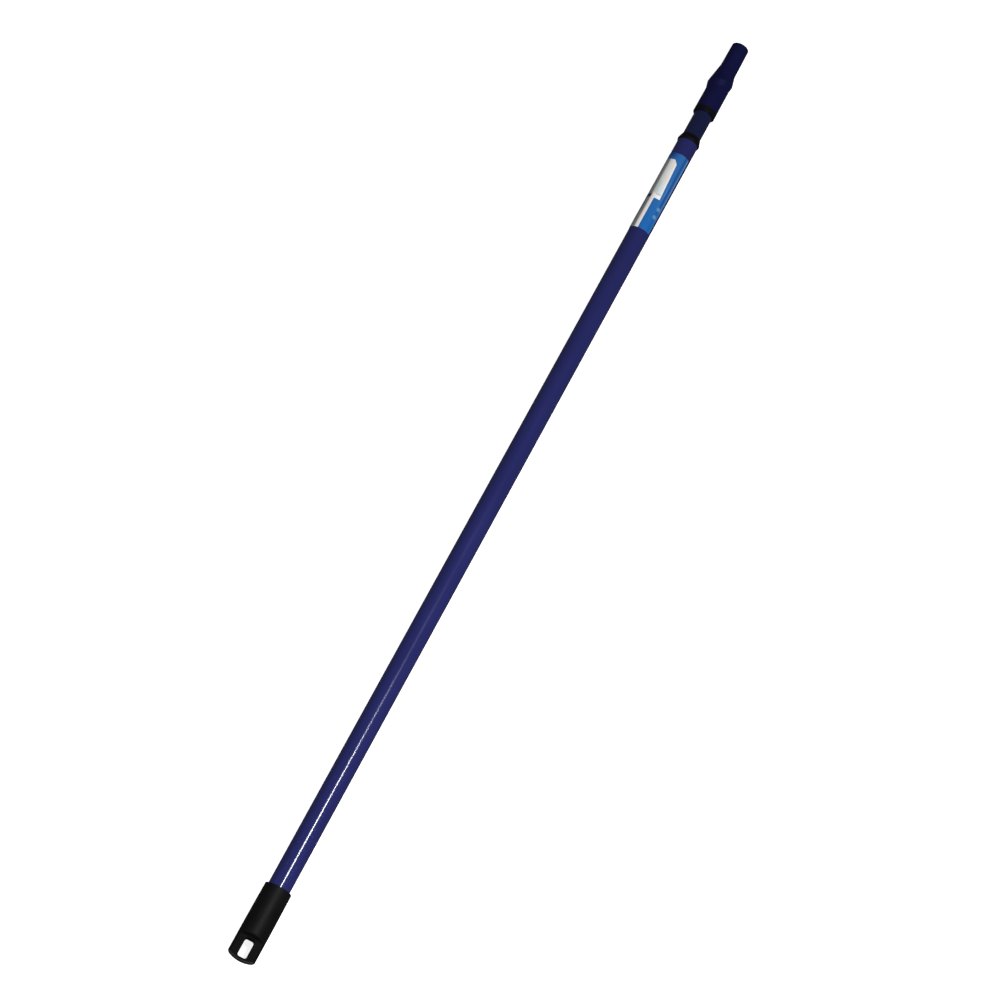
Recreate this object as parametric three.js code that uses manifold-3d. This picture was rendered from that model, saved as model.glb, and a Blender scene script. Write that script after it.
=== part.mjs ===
// A two-stage telescopic pole for a paint roller, lying on the floor.
// Millimetres, +X along the pole towards the tip that takes the roller, +Z up.
// The origin is under the middle of the pole, on the floor. A station is a distance from the hanging end.
import * as THREE from 'three';
import { mergeVertices } from 'three/addons/utils/BufferGeometryUtils.js';
import Module from 'manifold-3d';

const wasm = await Module();
wasm.setup();

// Driving dimensions
const OUTER_RADIUS = 12.5;
const INNER_RADIUS = 11;
const TUBE_WALL = 0.5;
const TRAVEL = 780;
const CAP_LENGTH = 83.7;
const TUBE_SHOWING = 990.8;
const NECK_SHOWING = 34.2;
const LIP_LENGTH = 9;
const TIP_LENGTH = 103;
const ECCENTRICITY = 0.75;

const SIDES = 48;
const SMALL_SIDES = 24;
const EASE = 0.1; // gap between pieces that are pushed together
const FREE = 0.25; // gap between pieces that turn or slide on each other
const FLAT = Math.cos(Math.PI / SIDES); // a side's distance from the axis over a corner's

// End cap
const CAP_MOUTH_RADIUS = 15.25;
const CAP_RADIUS = 15.65;
const CAP_WIDEST = 40;
const CAP_SOCKET_DEPTH = 37;
const MOUTH_CHAMFER_LENGTH = 1;
const MOUTH_CHAMFER_DEPTH = 0.6;
const CAP_END_SAGITTA = 4;
const TAB_HALF_THICKNESS = 8;
const TAB_FLAT_LENGTH = 25;
const SHOULDER_LENGTH = 3; // along the pole, from the tab's flat up to the cap's full height
const HOLE_END = 2.8;
const HOLE_LENGTH = 21;
const HOLE_WIDTH = 10;
const HOLE_CORNER = 2.4;

// Collar bush
const BUSH_DEPTH = 28;
const BUSH_BORE_RADIUS = INNER_RADIUS + FREE;
const LIP_FOOT_RADIUS = 13.3;
const LIP_RADIUS = 13.8;
const LIP_CREST = 2.2;
const LIP_NOSE_RADIUS = 11.7;

// Label
const LABEL_LENGTH = 109;
const LABEL_GAP = 22.5;
const LABEL_THICKNESS = 0.2;
const LABEL_FACETS = 38;
const LABEL_FIRST_FACET = -7; // counted from straight down, towards +Y

// Tip
const BAND_LENGTH = 6.2;
const SLEEVE_RADIUS = 13.3;
const SLEEVE_TOP_RADIUS = 13.1;
const SOCKET_LENGTH = 60;
const STEP_FOOT = 39; // the flare's underside starts here, measured from the tip's base
const STEP_CREST = 46.5;
const FLARE_RADIUS = 14.7;
const FLARE_END = 67;
const NOSE_FOOT_RADIUS = 10.9;
const NOSE_END_RADIUS = 10.45;
const NOSE_ROUNDING = 3.6;
const NOSE_CORE_RADIUS = 7.6;
const NOSE_WALL = 4;
const FLARE_SLANT = 3; // the flare's crest runs this much nearer the base on the +Y side
const UNDERSIDE_SLANT = 4.5; // the same, for the foot of the flare's underside
const FLARE_BULGE = 0.6; // and the crest stands out this much further on that side
const PIN_RADIUS = 1.5;
const PIN_HOLE_FOOT = 7;
const PIN_HOLE_END = 16;
const TIP_PIN_PLACE = 20;
const TIP_PIN_FOOT = 10.2; // a pin's inner end, measured from the pole's axis

// Twist lock
const RING_LENGTH = 7.4;
const RING_OUTER_RADIUS = 11.8;
const GROOVE_RADIUS = 10.2;
const GROOVE_CHEEK = 3;
const FLANGE_RADIUS = 11;
const PLUG_BARREL_LENGTH = 30;
const PLUG_CORE_RADIUS = 7;
const SPINDLE_RADIUS = 4.5;
const CAM_LENGTH = 23;
const CAM_RADIUS = OUTER_RADIUS - TUBE_WALL - Math.SQRT2 * ECCENTRICITY - 0.14;
const SLOT_WIDTH = 1.6;
const PLUG_PIN_PLACE = 14;
const PLUG_PIN_FOOT = 7.4;
const WASHER_RADIUS = 7;
const WASHER_THICKNESS = 1.5;
const SCREW_RADIUS = 1.9;
const SCREW_LENGTH = 17;
const SCREW_HEAD_RADIUS = 4.2;
const SCREW_HEAD_HEIGHT = 3;
const SCREW_HEAD_CHAMFER = 1;
const RECESS_DEPTH = 1.8;
const RECESS_ARM = 2.2; // half the length of an arm of the screw's cross recess
const RECESS_HALF_WIDTH = 0.45;

// Stations, counted from the hanging end
const tubeStart = CAP_LENGTH - CAP_SOCKET_DEPTH + 2 * EASE;
const tubeEnd = CAP_LENGTH + TUBE_SHOWING;
const lipEnd = tubeEnd + LIP_LENGTH;
const tipBase = lipEnd + NECK_SHOWING;
const length = tipBase + TIP_LENGTH;
const bushBack = tubeEnd - BUSH_DEPTH;
const ringFront = bushBack - TRAVEL - FREE;
const ringBack = ringFront - RING_LENGTH;
const flangeFront = ringFront + FREE + GROOVE_CHEEK;
const flangeBack = ringBack - FREE - GROOVE_CHEEK;
const innerTubeStart = flangeFront + EASE;
const innerTubeEnd = tipBase + SOCKET_LENGTH - EASE;
const camFront = flangeBack - 2 * FREE;
const camBack = camFront - CAM_LENGTH;
const spindleEnd = camBack - FREE;
const washerBack = spindleEnd - EASE - WASHER_THICKNESS;
const headFront = washerBack - EASE;
const axisHeight = CAP_RADIUS * FLAT;
const middle = length / 2;

function finish(color, roughness, metalness) {
  return new THREE.MeshStandardMaterial({ color, roughness, metalness });
}

const coatedSteel = () => finish(0x262a5f, 0.35, 0.1);
const darkCoatedSteel = () => finish(0x16163a, 0.35, 0.1);
const blackPlastic = () => finish(0x101010, 0.5, 0);
const navyPlastic = () => finish(0x181843, 0.45, 0);
const nylon = () => finish(0xe6e2d6, 0.5, 0);
const zincedSteel = () => finish(0xb4b6b8, 0.35, 1);

// A solid of revolution about the pole's axis. The profile is a list of [station, radius] that runs
// forwards along the outside and back along the inside, and closes on itself or on the axis.
function turned(profile, sides = SIDES) {
  const points = profile.map(([station, radius]) => new THREE.Vector2(radius, station));
  if (profile[0][1] > 0) points.push(points[0].clone());
  const lathe = new THREE.LatheGeometry(points, sides, Math.PI / sides);
  return lathe.rotateZ(-Math.PI / 2);
}

function rod(from, to, radius, sides = SIDES) {
  return turned([[from, 0], [from, radius], [to, radius], [to, 0]], sides);
}

function pipe(from, to, outer, inner, sides = SIDES) {
  return turned([[from, inner], [from, outer], [to, outer], [to, inner]], sides);
}

// A box between two corners given as [station, y, z] from the pole's axis.
function block([x0, y0, z0], [x1, y1, z1]) {
  const box = new THREE.BoxGeometry(x1 - x0, y1 - y0, z1 - z0);
  return box.translate((x0 + x1) / 2, (y0 + y1) / 2, (z0 + z1) / 2);
}

// A prism whose outline lies across the pole, drawn as y and z, and runs along it.
function prismAlongPole(shape, from, to) {
  const prism = new THREE.ExtrudeGeometry(shape, { depth: to - from, bevelEnabled: false });
  const turn = new THREE.Matrix4().makeBasis(
    new THREE.Vector3(0, 1, 0),
    new THREE.Vector3(0, 0, 1),
    new THREE.Vector3(1, 0, 0),
  );
  return prism.applyMatrix4(turn).translate(from, 0, 0);
}

// A round pin across the pole on the side that sign gives, from one distance from the axis to another.
function crossPin(station, from, to, radius, sign) {
  const pin = new THREE.CylinderGeometry(radius, radius, to - from, SMALL_SIDES);
  return pin.translate(station, sign * (from + to) / 2, 0);
}

function toSolid(geometry) {
  const bare = geometry.clone();
  bare.deleteAttribute('normal');
  bare.deleteAttribute('uv');
  const merged = mergeVertices(bare, 1e-4);
  const corners = merged.index.array;
  const triVerts = [];
  for (let i = 0; i < corners.length; i += 3) {
    const [a, b, c] = corners.slice(i, i + 3);
    if (a !== b && b !== c && c !== a) triVerts.push(a, b, c);
  }
  return new wasm.Manifold(new wasm.Mesh({
    numProp: 3,
    vertProperties: new Float32Array(merged.attributes.position.array),
    triVerts: new Uint32Array(triVerts),
  }));
}

function toGeometry(solid) {
  const { vertProperties, triVerts } = solid.getMesh();
  const geometry = new THREE.BufferGeometry();
  geometry.setAttribute('position', new THREE.BufferAttribute(vertProperties, 3));
  geometry.setIndex(new THREE.BufferAttribute(triVerts, 1));
  geometry.computeVertexNormals();
  return geometry;
}

function joined(first, ...others) {
  return toGeometry(others.reduce((whole, piece) => whole.add(toSolid(piece)), toSolid(first)));
}

function cut(first, ...others) {
  return toGeometry(others.reduce((whole, piece) => whole.subtract(toSolid(piece)), toSolid(first)));
}

function common(first, second) {
  return toGeometry(toSolid(first).intersect(toSolid(second)));
}

const pole = new THREE.Group();
pole.position.set(-middle, 0, axisHeight);

function place(name, geometry, material) {
  const mesh = new THREE.Mesh(geometry, material);
  mesh.name = name;
  pole.add(mesh);
}

// Outer stage

function outerTube() {
  return pipe(tubeStart, tubeEnd, OUTER_RADIUS, OUTER_RADIUS - TUBE_WALL);
}

// The plan of the cap, seen from above: straight sides and a round end.
function capPlan() {
  const half = CAP_RADIUS + 1;
  const endRadius = (CAP_RADIUS ** 2 + CAP_END_SAGITTA ** 2) / (2 * CAP_END_SAGITTA);
  const spread = Math.asin(CAP_RADIUS / endRadius);
  const shape = new THREE.Shape();
  shape.moveTo(CAP_LENGTH + 1, -half);
  shape.lineTo(CAP_LENGTH + 1, half);
  shape.lineTo(CAP_END_SAGITTA, half);
  shape.absarc(endRadius, 0, endRadius, Math.PI - spread, Math.PI + spread);
  shape.lineTo(CAP_END_SAGITTA, -half);
  const plan = new THREE.ExtrudeGeometry(shape, { depth: 2 * half, bevelEnabled: false, curveSegments: 10 });
  return plan.translate(0, 0, -half);
}

// What is taken off one face of the cap to leave the flat tab, drawn from the side.
function tabScoop(sign) {
  const top = CAP_RADIUS + 1;
  const steepness = (CAP_RADIUS - TAB_HALF_THICKNESS) / SHOULDER_LENGTH;
  const shape = new THREE.Shape();
  shape.moveTo(-1, TAB_HALF_THICKNESS);
  shape.lineTo(TAB_FLAT_LENGTH, TAB_HALF_THICKNESS);
  shape.lineTo(TAB_FLAT_LENGTH + (top - TAB_HALF_THICKNESS) / steepness, top);
  shape.lineTo(-1, top);
  const width = 2 * CAP_RADIUS + 2;
  const scoop = new THREE.ExtrudeGeometry(shape, { depth: width, bevelEnabled: false });
  scoop.rotateX(Math.PI / 2).translate(0, width / 2, 0);
  return sign > 0 ? scoop : scoop.rotateX(Math.PI);
}

function hangingHole() {
  const end = HOLE_END + HOLE_LENGTH;
  const half = HOLE_WIDTH / 2;
  const turn = Math.PI / 2;
  const shape = new THREE.Shape();
  shape.absarc(end - HOLE_CORNER, half - HOLE_CORNER, HOLE_CORNER, 0, turn);
  shape.absarc(HOLE_END + HOLE_CORNER, half - HOLE_CORNER, HOLE_CORNER, turn, 2 * turn);
  shape.absarc(HOLE_END + HOLE_CORNER, HOLE_CORNER - half, HOLE_CORNER, 2 * turn, 3 * turn);
  shape.absarc(end - HOLE_CORNER, HOLE_CORNER - half, HOLE_CORNER, 3 * turn, 4 * turn);
  const depth = 2 * CAP_RADIUS;
  const hole = new THREE.ExtrudeGeometry(shape, { depth, bevelEnabled: false, curveSegments: 4 });
  return hole.translate(0, 0, -depth / 2);
}

function endCap() {
  const body = turned([
    [0, 0],
    [0, CAP_RADIUS],
    [CAP_WIDEST, CAP_RADIUS],
    [CAP_LENGTH - MOUTH_CHAMFER_LENGTH, CAP_MOUTH_RADIUS],
    [CAP_LENGTH, CAP_MOUTH_RADIUS - MOUTH_CHAMFER_DEPTH],
    [CAP_LENGTH, 0],
  ]);
  const socket = rod(CAP_LENGTH - CAP_SOCKET_DEPTH, CAP_LENGTH + 1, OUTER_RADIUS + EASE);
  return cut(common(body, capPlan()), tabScoop(1), tabScoop(-1), hangingHole(), socket);
}

function collarBush() {
  return turned([
    [bushBack, BUSH_BORE_RADIUS],
    [bushBack, OUTER_RADIUS - TUBE_WALL - EASE],
    [tubeEnd + EASE, OUTER_RADIUS - TUBE_WALL - EASE],
    [tubeEnd + EASE, LIP_FOOT_RADIUS],
    [tubeEnd + LIP_CREST, LIP_RADIUS],
    [lipEnd, LIP_NOSE_RADIUS],
    [lipEnd, BUSH_BORE_RADIUS],
  ]);
}

// The label is wrapped on the tube's own facets and leaves a gap on the right, a little under the middle.
function label() {
  const top = tubeEnd - LABEL_GAP;
  const inner = OUTER_RADIUS + EASE / 2;
  const corners = Array.from({ length: LABEL_FACETS + 1 }, (_, i) => {
    const turn = (LABEL_FIRST_FACET + i + 0.5) * 2 * Math.PI / SIDES;
    return new THREE.Vector2(Math.sin(turn), -Math.cos(turn));
  });
  const outside = corners.map((corner) => corner.clone().multiplyScalar(inner + LABEL_THICKNESS));
  const inside = corners.map((corner) => corner.clone().multiplyScalar(inner)).reverse();
  return prismAlongPole(new THREE.Shape([...outside, ...inside]), top - LABEL_LENGTH, top);
}

// Inner stage

function innerTube() {
  const tube = pipe(innerTubeStart, innerTubeEnd, INNER_RADIUS, INNER_RADIUS - TUBE_WALL);
  return cut(tube, ...pinHoles(tipBase + TIP_PIN_PLACE), ...pinHoles(innerTubeStart + PLUG_PIN_PLACE));
}

function pinHoles(station) {
  return [1, -1].map((sign) => crossPin(station, PIN_HOLE_FOOT, PIN_HOLE_END, PIN_RADIUS + EASE, sign));
}

// The tip is turned first. Its flare is then drawn out and back on one side, which slants its underside.
function tip() {
  const base = tipBase;
  const end = base + TIP_LENGTH;
  const tilt = Math.PI / 6;
  const roundingCentre = NOSE_END_RADIUS - NOSE_ROUNDING;
  const rounding = [1, 2, 3].map((i) => [
    end - NOSE_ROUNDING + NOSE_ROUNDING * Math.sin(i * tilt),
    roundingCentre + NOSE_ROUNDING * Math.cos(i * tilt),
  ]);
  const geometry = turned([
    [base + BAND_LENGTH + EASE, INNER_RADIUS + EASE],
    [base + BAND_LENGTH + EASE, SLEEVE_RADIUS],
    [base + STEP_FOOT, SLEEVE_TOP_RADIUS],
    [base + STEP_CREST, FLARE_RADIUS],
    [base + FLARE_END, NOSE_FOOT_RADIUS],
    [end - NOSE_ROUNDING, NOSE_END_RADIUS],
    ...rounding,
    [end, 0],
    [end - NOSE_WALL, 0],
    [end - NOSE_WALL, NOSE_CORE_RADIUS],
    [base + SOCKET_LENGTH, NOSE_CORE_RADIUS],
    [base + SOCKET_LENGTH, INNER_RADIUS + EASE],
  ]);
  slantFlare(geometry, base);
  return cut(geometry, ...pinHoles(base + TIP_PIN_PLACE));
}

function slantFlare(geometry, base) {
  const { position } = geometry.attributes;
  for (let i = 0; i < position.count; i += 1) {
    const radius = Math.hypot(position.getY(i), position.getZ(i));
    const side = radius > 0 ? position.getY(i) / radius : 0;
    const place = position.getX(i) - base;
    const outside = radius > INNER_RADIUS + 1;
    if (outside && Math.abs(place - STEP_FOOT) < 1) {
      position.setX(i, position.getX(i) - UNDERSIDE_SLANT * side);
    }
    if (outside && Math.abs(place - STEP_CREST) < 1) {
      const wider = 1 + FLARE_BULGE * side / radius;
      position.setXYZ(
        i,
        position.getX(i) - FLARE_SLANT * side,
        position.getY(i) * wider,
        position.getZ(i) * wider,
      );
    }
  }
}

function tipBand() {
  return pipe(tipBase, tipBase + BAND_LENGTH, SLEEVE_RADIUS + EASE, INNER_RADIUS + EASE);
}

function atSpindle(geometry) {
  return geometry.translate(0, ECCENTRICITY, 0);
}

// Twist lock, at the back of the inner tube

function camPlug() {
  const barrelEnd = innerTubeStart + PLUG_BARREL_LENGTH;
  const barrelRadius = INNER_RADIUS - TUBE_WALL - EASE;
  const body = turned([
    [flangeBack, 0],
    [flangeBack, FLANGE_RADIUS],
    [flangeBack + GROOVE_CHEEK, FLANGE_RADIUS],
    [flangeBack + GROOVE_CHEEK, GROOVE_RADIUS],
    [flangeFront - GROOVE_CHEEK, GROOVE_RADIUS],
    [flangeFront - GROOVE_CHEEK, FLANGE_RADIUS],
    [flangeFront, FLANGE_RADIUS],
    [flangeFront, barrelRadius],
    [barrelEnd, barrelRadius],
    [barrelEnd, PLUG_CORE_RADIUS],
    [flangeFront, PLUG_CORE_RADIUS],
    [flangeFront, 0],
  ]);
  const spindle = atSpindle(rod(spindleEnd, flangeBack + 1, SPINDLE_RADIUS));
  const screwHole = atSpindle(
    rod(spindleEnd - 1, spindleEnd + SCREW_LENGTH, SCREW_RADIUS + EASE, SMALL_SIDES),
  );
  const pins = pinHoles(innerTubeStart + PLUG_PIN_PLACE);
  return cut(joined(body, spindle), screwHole, ...pins);
}

function guideRing() {
  const ring = pipe(ringBack, ringFront, RING_OUTER_RADIUS, GROOVE_RADIUS + FREE);
  const split = block([ringBack - 1, -SLOT_WIDTH / 2, 0], [ringFront + 1, SLOT_WIDTH / 2, OUTER_RADIUS]);
  return cut(ring, split);
}

function camRing() {
  const disc = rod(camBack, camFront, CAM_RADIUS);
  const bore = atSpindle(rod(camBack - 1, camFront + 1, SPINDLE_RADIUS + FREE / 2));
  const split = block([camBack - 1, 0, -SLOT_WIDTH / 2], [camFront + 1, OUTER_RADIUS, SLOT_WIDTH / 2]);
  return cut(disc, bore, split);
}

function retainingWasher() {
  return atSpindle(
    pipe(washerBack, washerBack + WASHER_THICKNESS, WASHER_RADIUS, SCREW_RADIUS + EASE, SMALL_SIDES),
  );
}

function retainingScrew() {
  const headBack = headFront - SCREW_HEAD_HEIGHT;
  const screw = turned([
    [headBack, 0],
    [headBack, SCREW_HEAD_RADIUS - SCREW_HEAD_CHAMFER],
    [headBack + SCREW_HEAD_CHAMFER, SCREW_HEAD_RADIUS],
    [headFront, SCREW_HEAD_RADIUS],
    [headFront, SCREW_RADIUS],
    [headFront + SCREW_LENGTH, SCREW_RADIUS],
    [headFront + SCREW_LENGTH, 0],
  ], SMALL_SIDES);
  const recessEnd = headBack + RECESS_DEPTH;
  const arms = [[RECESS_ARM, RECESS_HALF_WIDTH], [RECESS_HALF_WIDTH, RECESS_ARM]].map(
    ([y, z]) => block([headBack - 1, -y, -z], [recessEnd, y, z]),
  );
  return atSpindle(cut(screw, ...arms));
}

place('outer_tube', outerTube(), coatedSteel());
place('end_cap', endCap(), blackPlastic());
place('collar_bush', collarBush(), blackPlastic());
place('label', label(), finish(0x1e64b4, 0.4, 0));
place('inner_tube', innerTube(), darkCoatedSteel());
place('roller_tip', tip(), navyPlastic());
place('tip_band', tipBand(), blackPlastic());
place('cam_plug', camPlug(), blackPlastic());
place('guide_ring', guideRing(), nylon());
place('cam_ring', camRing(), nylon());
place('retaining_washer', retainingWasher(), zincedSteel());
place('retaining_screw', retainingScrew(), zincedSteel());

for (const [side, sign] of [['left', 1], ['right', -1]]) {
  const tipPin = crossPin(tipBase + TIP_PIN_PLACE, TIP_PIN_FOOT, SLEEVE_RADIUS - EASE, PIN_RADIUS, sign);
  const plugPinPlace = innerTubeStart + PLUG_PIN_PLACE;
  const plugPin = crossPin(plugPinPlace, PLUG_PIN_FOOT, INNER_RADIUS - EASE, PIN_RADIUS, sign);
  place(`tip_pin_${side}`, tipPin, zincedSteel());
  place(`plug_pin_${side}`, plugPin, zincedSteel());
}

export default pole;
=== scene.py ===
"""The looks of a telescopic pole for a paint roller, lying closed on a pale studio floor.

Everything is in metres in the frame's own axes: +X along the pole towards the roller's tip, +Z up.
Lengths below are in millimetres times MM. A station is a distance from the pole's hanging end.
"""

import math

import bmesh
import bpy
import numpy as np
import openvdb
from mathutils import Matrix, Vector


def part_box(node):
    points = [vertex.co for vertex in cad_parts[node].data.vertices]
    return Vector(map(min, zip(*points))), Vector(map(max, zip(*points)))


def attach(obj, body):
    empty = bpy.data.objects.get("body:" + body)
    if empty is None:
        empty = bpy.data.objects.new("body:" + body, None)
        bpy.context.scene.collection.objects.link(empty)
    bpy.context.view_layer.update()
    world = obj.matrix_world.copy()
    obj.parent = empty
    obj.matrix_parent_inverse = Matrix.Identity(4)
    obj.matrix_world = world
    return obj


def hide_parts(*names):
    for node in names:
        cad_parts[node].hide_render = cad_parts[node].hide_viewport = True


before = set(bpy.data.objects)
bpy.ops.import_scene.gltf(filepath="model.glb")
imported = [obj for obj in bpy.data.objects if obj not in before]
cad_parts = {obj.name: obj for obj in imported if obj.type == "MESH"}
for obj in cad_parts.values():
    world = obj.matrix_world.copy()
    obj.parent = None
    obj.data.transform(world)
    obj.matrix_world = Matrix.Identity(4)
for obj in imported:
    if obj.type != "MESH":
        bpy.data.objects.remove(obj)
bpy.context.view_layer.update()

MM = 0.001
CAD_SIDES = 48  # the CAD's round pieces have this many sides
FLAT = math.cos(math.pi / CAD_SIDES)

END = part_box("end_cap")[0].x
AXIS_HEIGHT = sum(corner.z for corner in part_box("outer_tube")) / 2


def station(x):
    return x - END


def span(node):
    """The first and last station of a CAD node."""
    low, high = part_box(node)
    return station(low.x), station(high.x)


def radius_of(node):
    """The radius of a round CAD node about the pole's axis, from its width across the flats."""
    return (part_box(node)[1].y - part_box(node)[0].y) / 2 / FLAT


CAP_LENGTH = span("end_cap")[1]
CAP_RADIUS = radius_of("end_cap")
TUBE_START, TUBE_END = span("outer_tube")
TUBE_RADIUS = radius_of("outer_tube")
INNER_START, INNER_END = span("inner_tube")
INNER_RADIUS = radius_of("inner_tube")
WALL = 0.5 * MM
BUSH_BACK, LIP_END = span("collar_bush")
TIP_BASE, BAND_END = span("tip_band")
POLE_END = span("roller_tip")[1]
LABEL_LOW, LABEL_HIGH = span("label")
CAP_END_SAGITTA = 4 * MM
CAP_END_RADIUS = (CAP_RADIUS ** 2 + CAP_END_SAGITTA ** 2) / (2 * CAP_END_SAGITTA)


# ---------------------------------------------------------------------------------------------------
# Mesh helpers


def finish_mesh(name, mesh, material, body, node):
    """Makes the mesh a smooth-shaded piece that stands for a CAD node and rides on its body."""
    piece = bpy.data.objects.new(name, mesh)
    bpy.context.scene.collection.objects.link(piece)
    mesh.materials.append(material)
    for polygon in mesh.polygons:
        polygon.use_smooth = True
    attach(piece, body)
    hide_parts(node)
    return piece


def keep_edges(piece, degrees=40):
    """Shades edges sharper than this hard, and lets large faces lead the normals of their fillets."""
    piece.data.set_sharp_from_angle(angle=math.radians(degrees))
    modifier = piece.modifiers.new("normals", "WEIGHTED_NORMAL")
    modifier.keep_sharp = True


def rounded(corners, steps=6):
    """A closed outline of (station, radius) points whose corners are turned into arcs.

    A corner is (station, radius) or (station, radius, fillet). A fillet is cut short where its sides
    are short.
    """
    points = [(Vector(corner[:2]), corner[2] if len(corner) > 2 else 0) for corner in corners]
    outline = []
    for i, (here, fillet) in enumerate(points):
        if fillet == 0:
            outline.append(tuple(here))
            continue
        back = points[i - 1][0] - here
        ahead = points[(i + 1) % len(points)][0] - here
        half = back.angle(ahead) / 2
        reach = min(fillet / math.tan(half), 0.48 * back.length, 0.48 * ahead.length)
        start = here + back.normalized() * reach
        stop = here + ahead.normalized() * reach
        centre = here + (back.normalized() + ahead.normalized()).normalized() * (reach / math.cos(half))
        first, last = start - centre, stop - centre
        for step in range(steps + 1):
            outline.append(tuple(centre + first.slerp(last, step / steps) * first.length))
    return outline


def turned(name, outline, sides=128, shift=None):
    """A mesh that turns a closed outline of (station, radius) points about the pole's axis.

    shift(station, radius, angle) may move a ring's points: it gives what to add to station and radius.
    """
    mesh = bpy.data.meshes.new(name)
    work = bmesh.new()
    rings = []
    for place, radius in outline:
        if radius < 1e-7:
            point = work.verts.new((END + place, 0, AXIS_HEIGHT))
            rings.append([point] * sides)
            continue
        ring = []
        for i in range(sides):
            angle = 2 * math.pi * i / sides
            along, out = shift(place, radius, angle) if shift else (0, 0)
            across = radius + out
            ring.append(work.verts.new((
                END + place + along,
                across * math.cos(angle),
                AXIS_HEIGHT + across * math.sin(angle),
            )))
        rings.append(ring)
    for low, high in zip(rings, rings[1:] + rings[:1]):
        for i in range(sides):
            j = (i + 1) % sides
            corners = []
            for vertex in (low[i], low[j], high[j], high[i]):
                if vertex not in corners:
                    corners.append(vertex)
            if len(corners) > 2:
                work.faces.new(corners)
    bmesh.ops.recalc_face_normals(work, faces=work.faces)
    work.to_mesh(mesh)
    work.free()
    return mesh


def round_common(a, b, fillet):
    """The distance field of what is inside both a and b, with a round of this radius along the edge."""
    u = np.maximum(fillet + a, 0)
    v = np.maximum(fillet + b, 0)
    return np.minimum(-fillet, np.maximum(a, b)) + np.hypot(u, v)


def skinned(name, field, low, high, voxel):
    """The surface where a distance field of (x, y, z) arrays is zero, as a smooth mesh of quads.

    A grid gives the mesh, and three steps along the field's slope bring its points onto the surface.
    """
    counts = [int(math.ceil((b - a) / voxel)) + 1 for a, b in zip(low, high)]
    axes = [a + voxel * np.arange(count) for a, count in zip(low, counts)]
    values = field(*np.meshgrid(*axes, indexing="ij"))
    grid = openvdb.FloatGrid()
    grid.background = float(4 * voxel)
    grid.copyFromArray(np.clip(values, -4 * voxel, 4 * voxel).astype(np.float32))
    points, quads = grid.convertToQuads(isovalue=0.0)
    points = np.asarray(points, float) * voxel + np.array(low)
    for _ in range(3):
        slope = field_slope(field, points, voxel / 20)
        steepness = np.maximum((slope ** 2).sum(1), 0.2)
        points -= slope * (field(*points.T) / steepness)[:, None]
    mesh = bpy.data.meshes.new(name)
    mesh.from_pydata(points.tolist(), [], [list(map(int, quad)) for quad in quads])
    mesh.validate()
    work = bmesh.new()
    work.from_mesh(mesh)
    bmesh.ops.recalc_face_normals(work, faces=work.faces)
    work.to_mesh(mesh)
    work.free()
    return mesh


def field_slope(field, points, step):
    columns = []
    for axis in range(3):
        ahead, back = points.copy(), points.copy()
        ahead[:, axis] += step
        back[:, axis] -= step
        columns.append((field(*ahead.T) - field(*back.T)) / (2 * step))
    return np.stack(columns, axis=1)


# ---------------------------------------------------------------------------------------------------
# Materials

# The first colour is a painted sheen: the paler grey painted on the cap's round end stands in for light
# catching it.
PAINTED_END_SHEEN = (0.05, 0.05, 0.05)
BLACK_DARK, BLACK_LIGHT = (0.003, 0.003, 0.003), (0.0042, 0.0042, 0.0042)


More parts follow.
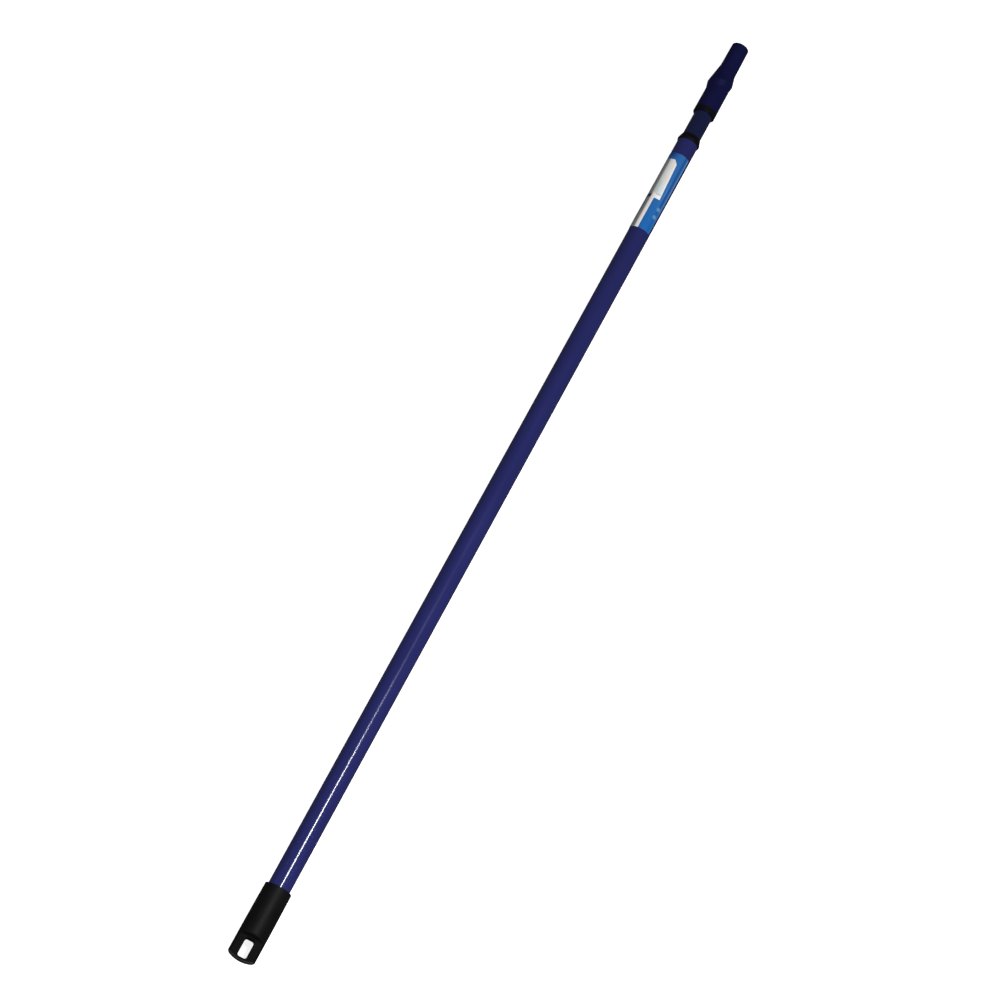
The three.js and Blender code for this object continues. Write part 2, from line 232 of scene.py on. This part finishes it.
class Nodes:
    """Builds a node tree with short calls. A value is a number or another node's socket."""

    def __init__(self, name):
        self.material = bpy.data.materials.new(name)
        self.material.use_nodes = True
        self.tree = self.material.node_tree
        self.shader = self.tree.nodes["Principled BSDF"]
        self.place = self.tree.nodes.new("ShaderNodeTexCoord").outputs["Object"]

    def feed(self, socket, value):
        if isinstance(value, bpy.types.NodeSocket):
            self.tree.links.new(value, socket)
        else:
            socket.default_value = value

    def math(self, operation, a, b=0.0, c=0.0):
        node = self.tree.nodes.new("ShaderNodeMath")
        node.operation = operation
        for socket, value in zip(node.inputs, (a, b, c)):
            self.feed(socket, value)
        return node.outputs[0]

    def mix(self, factor, a, b):
        node = self.tree.nodes.new("ShaderNodeMix")
        node.data_type = "RGBA"
        self.feed(node.inputs["Factor"], factor)
        self.feed(node.inputs["A"], (*a, 1) if isinstance(a, tuple) else a)
        self.feed(node.inputs["B"], (*b, 1) if isinstance(b, tuple) else b)
        return node.outputs["Result"]

    def spread(self, value, low, high, to_low=0.0, to_high=1.0):
        """Takes low..high smoothly to to_low..to_high and stops at the ends."""
        node = self.tree.nodes.new("ShaderNodeMapRange")
        node.interpolation_type = "SMOOTHSTEP"
        for name, number in (("Value", value), ("From Min", low), ("From Max", high),
                             ("To Min", to_low), ("To Max", to_high)):
            self.feed(node.inputs[name], number)
        return node.outputs[0]

    def stretched(self, x, y, z):
        """The piece's own place in metres, with each axis scaled."""
        node = self.tree.nodes.new("ShaderNodeMapping")
        self.feed(node.inputs["Vector"], self.place)
        node.inputs["Scale"].default_value = (x, y, z)
        return node.outputs[0]

    def noise(self, vector, scale, detail=2.0, roughness=0.5):
        node = self.tree.nodes.new("ShaderNodeTexNoise")
        self.feed(node.inputs["Vector"], vector)
        node.inputs["Scale"].default_value = scale
        node.inputs["Detail"].default_value = detail
        node.inputs["Roughness"].default_value = roughness
        return node.outputs["Fac"]

    def axes(self, vector=None):
        node = self.tree.nodes.new("ShaderNodeSeparateXYZ")
        self.feed(node.inputs[0], self.place if vector is None else vector)
        return node.outputs[0], node.outputs[1], node.outputs[2]

    def bump(self, height, depth, below=None):
        """Bump from a 0..1 height over this depth in metres, over an earlier bump."""
        node = self.tree.nodes.new("ShaderNodeBump")
        node.inputs["Strength"].default_value = 1.0
        node.inputs["Distance"].default_value = depth
        self.feed(node.inputs["Height"], height)
        if below is not None:
            self.feed(node.inputs["Normal"], below)
        return node.outputs[0]

    def surface(self, **sockets):
        names = {"color": "Base Color", "specular": "Specular IOR Level"}
        for name, value in sockets.items():
            socket = self.shader.inputs[names.get(name, name.capitalize())]
            self.feed(socket, (*value, 1) if isinstance(value, tuple) else value)
        return self.material


def coated_steel(name, dark, light):
    """Gloss powder coat: a faint orange peel, hardly seen drifts of tone, and fine rubs along the tube."""
    n = Nodes(name)
    drift = n.noise(n.stretched(1, 6, 6), 9, 3)
    rubs = n.noise(n.stretched(0.6, 60, 60), 26, 4, 0.7)
    rubbed = n.spread(rubs, 0.56, 0.72)
    color = n.mix(n.spread(drift, 0.3, 0.7), dark, light)
    peel = n.bump(n.noise(n.place, 620, 2, 0.4), 0.0000015)
    normal = n.bump(n.noise(n.place, 2600, 1), 0.0000003, peel)
    roughness = n.math("MULTIPLY_ADD", rubbed, 0.07, n.spread(drift, 0.25, 0.75, 0.15, 0.19))
    return n.surface(color=color, roughness=roughness, specular=1.0, normal=normal)


def moulded(name, dark, light, roughness, grain=0.000012, specular=0.5, cap=False):
    """Moulded plastic with a fine spark-eroded grain and a slight unevenness of tone and gloss.

    On the cap the tab is matt, and its round end is painted a paler grey: a painted sheen that stands in for
    light catching the end face.
    """
    n = Nodes(name)
    cloud = n.noise(n.place, 45, 3)
    fine = n.noise(n.place, 1500, 3, 0.6)
    color = n.mix(n.spread(cloud, 0.3, 0.7), dark, light)
    uneven = n.spread(cloud, 0.3, 0.7, roughness, roughness + 0.05)
    gloss = n.math("MULTIPLY_ADD", n.spread(fine, 0.3, 0.7), 0.06, uneven)
    if cap:
        x, y, _ = n.axes()
        tab_end = END + 26 * MM
        gloss = n.math("MAXIMUM", gloss, n.spread(x, tab_end + 0.5 * MM, tab_end - 0.5 * MM, 0, 0.8))
        # Painted sheen: a paler grey painted on the round end face and its edge, near the end only, in place
        # of light falling on it.
        along = n.math("SUBTRACT", END + CAP_END_RADIUS, x)
        from_centre = n.math("SQRT", n.math("ADD", n.math("POWER", along, 2.0), n.math("POWER", y, 2.0)))
        painted_end_sheen = n.spread(from_centre, CAP_END_RADIUS - 0.8 * MM, CAP_END_RADIUS - 0.3 * MM)
        painted_end_sheen = n.math("MULTIPLY", painted_end_sheen, n.spread(x, END + 8 * MM, END + 6 * MM))
        color = n.mix(n.math("MULTIPLY", painted_end_sheen, n.spread(cloud, 0.3, 0.7, 0.75, 1.0)), color, PAINTED_END_SHEEN)
    return n.surface(color=color, roughness=gloss, specular=specular, normal=n.bump(fine, grain))


def zinced_steel():
    n = Nodes("zinced_steel")
    brushed = n.noise(n.stretched(20, 300, 300), 6, 3)
    color = n.mix(brushed, (0.45, 0.46, 0.48), (0.62, 0.63, 0.64))
    return n.surface(
        color=color,
        metallic=1.0,
        roughness=n.spread(brushed, 0.2, 0.8, 0.28, 0.45),
        normal=n.bump(brushed, 0.000006),
    )


COATED = coated_steel("blue_powder_coat", (0.0142, 0.0165, 0.104), (0.017, 0.0195, 0.12))
DARK_COATED = coated_steel("dark_blue_powder_coat", (0.0042, 0.0066, 0.039), (0.005, 0.0078, 0.046))
BLACK = moulded("black_plastic_grain", BLACK_DARK, BLACK_LIGHT, 0.45, specular=0.3)
CAP_BLACK = moulded("black_plastic_cap", BLACK_DARK, BLACK_LIGHT, 0.47, specular=0.32, cap=True)
NAVY = moulded("navy_plastic_grain", (0.005, 0.0056, 0.042), (0.0062, 0.0068, 0.05), 0.42, 0.000008, 0.22)
NYLON = moulded("natural_nylon", (0.72, 0.69, 0.6), (0.8, 0.77, 0.69), 0.38)
ZINC = zinced_steel()


# ---------------------------------------------------------------------------------------------------
# Outer stage


def make_outer_tube():
    inside = TUBE_RADIUS - WALL
    outline = rounded([
        (TUBE_START, inside, 0.15 * MM),
        (TUBE_START, TUBE_RADIUS, 0.15 * MM),
        (TUBE_END, TUBE_RADIUS, 0.2 * MM),
        (TUBE_END, inside, 0.2 * MM),
    ], steps=3)
    mesh = turned("tube_outer", outline)
    keep_edges(finish_mesh("tube_outer", mesh, COATED, "outer_stage", "outer_tube"))


def cap_field(x, y, z):
    """The end cap: a tapered round sleeve, pinched to a tab with a hanging hole, with a socket inside."""
    place = x - END
    z = z - AXIS_HEIGHT
    across = np.hypot(y, z)
    widest, mouth = 40 * MM, 15.25 * MM
    taper = (CAP_RADIUS - mouth) / (CAP_LENGTH - widest)
    sleeve = across - CAP_RADIUS + taper * np.maximum(place - widest, 0)

    end = np.hypot(np.minimum(place - CAP_END_RADIUS, 0), y) - CAP_END_RADIUS

    half, flat_length, shoulder = 8 * MM, 25 * MM, 3 * MM
    rise = CAP_RADIUS - half
    above_flat = np.abs(z) - half
    before_shoulder = (above_flat * shoulder - (place - flat_length) * rise) / math.hypot(shoulder, rise)
    flats = -round_common(-above_flat, -before_shoulder, 1.6 * MM)

    hole_low, hole_length, hole_width, corner = 2.8 * MM, 21 * MM, 10 * MM, 2.4 * MM
    u = np.abs(place - hole_low - hole_length / 2) - hole_length / 2 + corner
    v = np.abs(y) - hole_width / 2 + corner
    hole = np.hypot(np.maximum(u, 0), np.maximum(v, 0)) + np.minimum(np.maximum(u, v), 0) - corner

    socket = np.maximum(across - TUBE_RADIUS - 0.1 * MM, TUBE_START - 0.2 * MM - place)
    body = round_common(sleeve, end, 0.8 * MM)
    body = round_common(body, flats, 0.9 * MM)
    body = round_common(body, -hole, 0.5 * MM)
    body = round_common(body, place - CAP_LENGTH, 0.3 * MM)
    return round_common(body, -socket, 0.3 * MM)


def make_end_cap():
    low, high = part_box("end_cap")
    margin = Vector((2, 2, 2)) * MM
    mesh = skinned("cap_moulded", cap_field, tuple(low - margin), tuple(high + margin), 0.5 * MM)
    finish_mesh("cap_moulded", mesh, CAP_BLACK, "outer_stage", "end_cap")


def make_collar_bush():
    bore = INNER_RADIUS + 0.25 * MM
    seat = TUBE_RADIUS - WALL - 0.1 * MM
    face = TUBE_END + 0.1 * MM
    outline = rounded([
        (BUSH_BACK, bore, 0.2 * MM),
        (BUSH_BACK, seat, 0.3 * MM),
        (face, seat, 0.1 * MM),
        (face, 13.3 * MM, 0.3 * MM),
        (TUBE_END + 2.2 * MM, 13.8 * MM, 0.8 * MM),
        (LIP_END, 11.7 * MM, 0.35 * MM),
        (LIP_END, bore, 0.1 * MM),
    ])
    mesh = turned("collar_lip_bush", outline)
    keep_edges(finish_mesh("collar_lip_bush", mesh, BLACK, "outer_stage", "collar_bush"))


# The label's own ruler: across runs round the tube from its top line, positive to the right, and up runs
# along the tube.
LABEL_RIGHT = 12.6 * MM
LABEL_WRAP = 61.5 * MM
LABEL_PAPER = 0.12 * MM
LABEL_TRIM = 1.2 * MM  # the sheet stops this much short of the CAD's lower end
LABEL_RADIUS = TUBE_RADIUS + 0.04 * MM
LABEL_SPACING = 1.15  # above 1, the sheet's columns lie closer together near its right edge


def label_lift(across, up):
    """How far the label stands off the tube: a soft bulge on the left, low down."""
    round_the_tube = math.exp(-((across + 15 * MM) / (6 * MM)) ** 2)
    bulge = round_the_tube * math.exp(-((up - 14 * MM) / (22 * MM)) ** 2)
    return 0.35 * MM * bulge


def make_label():
    """A thin sheet wrapped on the tube. Its UV map runs from 0 to 1 across and up the print."""
    columns, rows = 96, 64
    height = LABEL_HIGH - LABEL_LOW
    corner = 2.5 * MM
    mesh = bpy.data.meshes.new("label_sheet")
    work = bmesh.new()
    uv = work.loops.layers.uv.new("print")

    def outline_up(across, up):
        """Rounds the label's right corners by drawing in its ends where it is near that edge."""
        into = max(corner - (LABEL_RIGHT - across), 0)
        drawn = corner - math.sqrt(max(corner ** 2 - into ** 2, 0))
        low = LABEL_TRIM + drawn
        return LABEL_LOW + low + up / height * (height - low - drawn)

    layers = []
    for depth in (0.0, LABEL_PAPER):
        layer = []
        for j in range(rows + 1):
            up = height * j / rows
            line = []
            for i in range(columns + 1):
                share = i / columns
                across = LABEL_RIGHT - LABEL_WRAP * share ** LABEL_SPACING
                angle = math.pi / 2 - across / LABEL_RADIUS
                radius = LABEL_RADIUS + depth + label_lift(across, up)
                line.append(work.verts.new((
                    END + outline_up(across, up),
                    -radius * math.cos(angle),
                    AXIS_HEIGHT + radius * math.sin(angle),
                )))
            layer.append(line)
        layers.append(layer)
    across_of = {}
    for layer in layers:
        for j, line in enumerate(layer):
            for i, vertex in enumerate(line):
                across_of[vertex] = (1 - (i / columns) ** LABEL_SPACING, j / rows)

    def face(*vertices):
        made = work.faces.new(vertices)
        for loop in made.loops:
            loop[uv].uv = across_of[loop.vert]

    under, over = layers
    for j in range(rows):
        for i in range(columns):
            for layer in layers:
                face(layer[j][i], layer[j][i + 1], layer[j + 1][i + 1], layer[j + 1][i])
    for j in range(rows):
        for i in (0, columns):
            face(under[j][i], over[j][i], over[j + 1][i], under[j + 1][i])
    for i in range(columns):
        for j in (0, rows):
            face(under[j][i], over[j][i], over[j][i + 1], under[j][i + 1])
    bmesh.ops.recalc_face_normals(work, faces=work.faces)
    work.to_mesh(mesh)
    work.free()
    piece = finish_mesh("label_sheet", mesh, label_print(), "outer_stage", "label")
    piece.data.set_sharp_from_angle(angle=math.radians(50))


def label_print():
    """A generic printed label: a blue ground, two pale picture panels and two round signs, with no words."""
    n = Nodes("printed_label_gloss")
    coordinates = n.tree.nodes.new("ShaderNodeUVMap")
    coordinates.uv_map = "print"
    u, v, _ = n.axes(coordinates.outputs[0])
    wrap, height = LABEL_WRAP / MM, (LABEL_HIGH - LABEL_LOW) / MM
    across = n.math("MULTIPLY_ADD", u, wrap, LABEL_RIGHT / MM - wrap)
    up = n.math("MULTIPLY_ADD", v, height - LABEL_TRIM / MM, LABEL_TRIM / MM)

    def panel(centre, half, corner, soft=0.25):
        """1 inside a box with round corners, 0 outside it, in millimetres."""
        p = n.math("ADD", n.math("ABSOLUTE", n.math("SUBTRACT", across, centre[0])), corner - half[0])
        q = n.math("ADD", n.math("ABSOLUTE", n.math("SUBTRACT", up, centre[1])), corner - half[1])
        outside = n.math("POWER", n.math("ADD",
                         n.math("POWER", n.math("MAXIMUM", p, 0.0), 2.0),
                         n.math("POWER", n.math("MAXIMUM", q, 0.0), 2.0)), 0.5)
        inside = n.math("MINIMUM", n.math("MAXIMUM", p, q), 0.0)
        distance = n.math("SUBTRACT", n.math("ADD", outside, inside), corner)
        return n.spread(distance, soft, -soft)

    def band(value, centre, half, soft):
        return n.spread(n.math("ABSOLUTE", n.math("SUBTRACT", value, centre)), half + soft, half - soft)

    def both(a, b):
        return n.math("MULTIPLY", a, b)

    blue_low, blue_high, blue_deep = (0.014, 0.135, 0.43), (0.028, 0.14, 0.4), (0.005, 0.055, 0.26)
    ground = n.mix(n.spread(up, 0, 70), blue_low, blue_high)
    ground = n.mix(both(band(across, 7.6, 1.0, 1.8), n.spread(up, 20, 50, 0.3, 0.9)), ground, blue_deep)
    ground = n.mix(both(n.spread(up, height - 11, height - 1), n.spread(across, 2, -14)), ground, blue_deep)
    # A paler streak near the right edge, growing stronger towards the top.
    light = both(band(across, 11.3, 0.6, 0.9), n.spread(up, 8, 60, 0.2, 1.0))
    ground = n.mix(both(light, 0.8), ground, (0.2, 0.36, 0.6))
    glow = both(band(across, 5.2, 0.3, 1.3), band(up, 56, 10, 16))
    ground = n.mix(both(glow, 0.75), ground, (0.14, 0.34, 0.68))

    # The upper picture: white on the right, falling to grey round the side, its upper right corner cut off.
    lean = n.math("MULTIPLY_ADD", up, -0.045, 4.6)
    edge = n.spread(n.math("SUBTRACT", across, lean), 0.3, -0.3)
    cut = n.spread(n.math("ADD", n.math("MULTIPLY", across, 1.35), up), 95.4, 94.0)
    picture = both(both(panel((-17, 71.8), (22, 28.0), 1.5), edge), cut)
    side = n.spread(across, -8.2, -11.0)
    pale = n.mix(n.spread(up, 50, 92), (0.72, 0.76, 0.74), (0.8, 0.79, 0.77))
    pale = n.mix(both(panel((-1.5, 90), (2.4, 4.2), 2.0, 2.0), 0.5), pale, (0.9, 0.68, 0.52))
    pale = n.mix(both(panel((-3, 72), (2.4, 5), 2.0, 2.5), 0.35), pale, (0.85, 0.66, 0.52))
    pale = n.mix(both(panel((-7, 60), (2.4, 8), 2.0, 2.5), 0.45), pale, (0.42, 0.6, 0.58))
    grey = n.mix(n.noise(n.stretched(30, 200, 200), 3, 2), (0.17, 0.18, 0.2), (0.4, 0.41, 0.42))
    rim = n.spread(n.math("SUBTRACT", across, lean), -2.4, -0.4)
    pale = n.mix(both(rim, 0.8), pale, (0.93, 0.94, 0.95))
    picture_color = n.mix(side, pale, grey)
    rule = both(band(up, 49.4, 0.25, 0.3), band(across, -2, 3.4, 0.4))
    picture_color = n.mix(both(rule, 0.75), picture_color, (0.12, 0.09, 0.08))
    picture_color = n.mix(n.spread(up, 49.0, 48.4), picture_color, (0.9, 0.92, 0.94))

    # The lower picture: a white strip on the right of it, and a dull scene that runs on round the side.
    lower = panel((-24, 22.5), (19.4, 27.5), 1.2)
    strip = n.mix(n.spread(across, -7.0, -8.8), (0.92, 0.92, 0.92), (0.9, 0.7, 0.54))
    scene = n.mix(n.noise(n.stretched(60, 160, 160), 1.6, 3), (0.08, 0.15, 0.2), (0.38, 0.4, 0.37))
    scene = n.mix(band(up, 46.5, 2.2, 1.0), scene, (0.004, 0.02, 0.11))
    lower_color = n.mix(n.spread(across, -8.8, -10.0), strip, scene)

    color = n.mix(picture, ground, picture_color)
    color = n.mix(lower, color, lower_color)
    for place in (33.2, 22.4):
        disc = panel((7.4, place), (2.8, 2.4), 2.2, 0.6)
        mark = panel((7.4, place), (0.9, 1.3), 0.6, 0.5)
        color = n.mix(both(disc, 0.7), color, (0.13, 0.3, 0.48))
        color = n.mix(both(mark, 0.4), color, (0.26, 0.44, 0.52))

    fibre = n.noise(n.place, 900, 3, 0.6)
    gloss = n.spread(fibre, 0.3, 0.7, 0.3, 0.36)
    return n.surface(color=color, roughness=gloss, normal=n.bump(fibre, 0.000006))


# ---------------------------------------------------------------------------------------------------
# Inner stage


def make_inner_tube():
    inside = INNER_RADIUS - WALL
    outline = rounded([
        (INNER_START, inside, 0.15 * MM),
        (INNER_START, INNER_RADIUS, 0.15 * MM),
        (INNER_END, INNER_RADIUS, 0.15 * MM),
        (INNER_END, inside, 0.15 * MM),
    ], steps=3)
    mesh = turned("tube_inner", outline)
    keep_edges(finish_mesh("tube_inner", mesh, DARK_COATED, "inner_stage", "inner_tube"))


def tip_slant(place, radius, angle):
    """Draws the flare's crest down and out on the left side, and slants its narrow end the other way.

    The socket, its end face and the cored nose stay as they were turned.
    """
    local = (place - TIP_BASE) / MM
    in_socket = local < 61 and radius < INNER_RADIUS + 0.5 * MM
    if in_socket or radius < INNER_RADIUS - 2 * MM or local < 12:
        return 0, 0
    side = math.cos(angle)
    slant = np.interp(local, [12, 39, 46.5, 67, 80], [0, 4.5, 3, -3.5, 0])
    bulge = np.interp(local, [30, 39, 46.5, 67, 80], [0, 0, 0.6, 0, 0])
    return -slant * MM * side, bulge * MM * side


def make_tip():
    nose_core, socket = 7.6 * MM, INNER_RADIUS + 0.1 * MM
    step = 2 * MM
    sleeve_end = TIP_BASE + 39 * MM
    outline = rounded([
        (BAND_END + 0.1 * MM, socket, 0.1 * MM),
        (BAND_END + 0.1 * MM, 13.3 * MM, 0.15 * MM),
        (sleeve_end, 13.1 * MM, 1.4 * MM),
        (TIP_BASE + 46.5 * MM, 14.7 * MM, 1.3 * MM),
        (TIP_BASE + 67 * MM, 10.9 * MM, 20 * MM),
        (POLE_END, 10.45 * MM, 0.9 * MM),
        (POLE_END, 0),
        (POLE_END - 4 * MM, 0),
        (POLE_END - 4 * MM, nose_core, 1 * MM),
        (INNER_END + 0.1 * MM, nose_core, 0.3 * MM),
        (INNER_END + 0.1 * MM, socket, 0.3 * MM),
    ], steps=10)
    outline = finer(outline, step)
    mesh = turned("tip_moulded", outline, shift=tip_slant)
    keep_edges(finish_mesh("tip_moulded", mesh, NAVY, "inner_stage", "roller_tip"))


def finer(outline, step):
    """The same closed outline, with points added so that none are further apart than step."""
    dense = []
    for here, after in zip(outline, outline[1:] + outline[:1]):
        count = max(1, math.ceil(math.dist(here, after) / step))
        for i in range(count):
            share = i / count
            dense.append(tuple(a + (b - a) * share for a, b in zip(here, after)))
    return dense


def make_tip_band():
    outline = rounded([
        (TIP_BASE, INNER_RADIUS + 0.1 * MM, 0.2 * MM),
        (TIP_BASE, 13.4 * MM, 0.5 * MM),
        (BAND_END, 13.4 * MM, 0.2 * MM),
        (BAND_END, INNER_RADIUS + 0.1 * MM, 0.1 * MM),
    ])
    mesh = turned("tip_band_ring", outline)
    keep_edges(finish_mesh("tip_band_ring", mesh, BLACK, "inner_stage", "tip_band"))


make_outer_tube()
make_end_cap()
make_collar_bush()
make_label()
make_inner_tube()
make_tip()
make_tip_band()

inside_pieces = {
    BLACK: ("cam_plug",),
    NYLON: ("guide_ring", "cam_ring"),
    ZINC: ("retaining_washer", "retaining_screw", "tip_pin_left", "tip_pin_right", "plug_pin_left",
           "plug_pin_right"),
}
for material, nodes in inside_pieces.items():
    for node in nodes:
        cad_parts[node].data.materials.clear()
        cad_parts[node].data.materials.append(material)


# ---------------------------------------------------------------------------------------------------
# Studio


def add_floor():
    """A pale floor. It doesn't show in the pole's gloss, as the studio's dark surround does."""
    mesh = bpy.data.meshes.new("floor")
    side = 6.0
    corners = [(-side, -side, 0), (side, -side, 0), (side, side, 0), (-side, side, 0)]
    mesh.from_pydata(corners, [], [(0, 1, 2, 3)])
    floor = bpy.data.objects.new("floor", mesh)
    bpy.context.scene.collection.objects.link(floor)
    n = Nodes("pale_floor")
    n.surface(color=(0.9, 0.9, 0.9), roughness=0.9)
    n.shader.inputs["Specular IOR Level"].default_value = 0.0
    n.shader.inputs["Emission Color"].default_value = (1, 1, 1, 1)
    n.shader.inputs["Emission Strength"].default_value = 0.85
    mesh.materials.append(n.material)
    floor.visible_glossy = False
    floor.visible_diffuse = False


def add_light(name, place, aim, size, power, gloss=True):
    light = bpy.data.lights.new(name, "AREA")
    light.shape = "RECTANGLE"
    light.size, light.size_y = size
    light.energy = power
    lamp = bpy.data.objects.new(name, light)
    bpy.context.scene.collection.objects.link(lamp)
    lamp.location = place
    direction = Vector(aim) - Vector(place)
    lamp.rotation_euler = direction.to_track_quat("-Z", "Y").to_euler()
    lamp.visible_glossy = gloss
    lamp.visible_camera = False


def add_world():
    world = bpy.data.worlds.new("studio")
    bpy.context.scene.world = world
    world.use_nodes = True
    background = world.node_tree.nodes["Background"]
    background.inputs["Color"].default_value = (0.9, 0.93, 1, 1)
    background.inputs["Strength"].default_value = 0.07


def add_camera():
    """Looks down on the pole from beyond its hanging end, turned so that the pole leans to the right."""
    tilt, lean = math.radians(20.0), math.radians(28.73)
    distance = 2.912
    target = Vector((END + 0.5766, -0.00826, AXIS_HEIGHT))
    nudge = 0.549 * MM
    view = Vector((math.sin(tilt), 0, -math.cos(tilt)))
    pole = Vector((math.cos(tilt), 0, math.sin(tilt)))
    across = Vector((0, -1, 0))
    right = math.sin(lean) * pole + math.cos(lean) * across
    up = math.cos(lean) * pole - math.sin(lean) * across
    target += nudge * (up - right)
    data = bpy.data.cameras.new("camera")
    data.lens, data.sensor_width = 95.4, 36
    data.clip_end = 50
    camera = bpy.data.objects.new("camera", data)
    bpy.context.scene.collection.objects.link(camera)
    turn = Matrix((right, up, -view)).transposed()
    camera.matrix_world = Matrix.Translation(target - distance * view) @ turn.to_4x4()
    bpy.context.scene.camera = camera


add_floor()
add_world()
add_camera()
add_light("key", (-0.065, -0.32, 2.0), (-0.065, -0.32, 0), (0.37, 0.08), 8.6)
add_light("fill_right", (-0.8, -1.3, 1.7), (-0.3, 0, 0), (1.6, 1.0), 49, gloss=False)
add_light("fill_left", (-0.8, 1.5, 1.6), (-0.3, 0, 0), (1.6, 1.0), 20, gloss=False)
bpy.context.scene.view_settings.view_transform = "Standard"
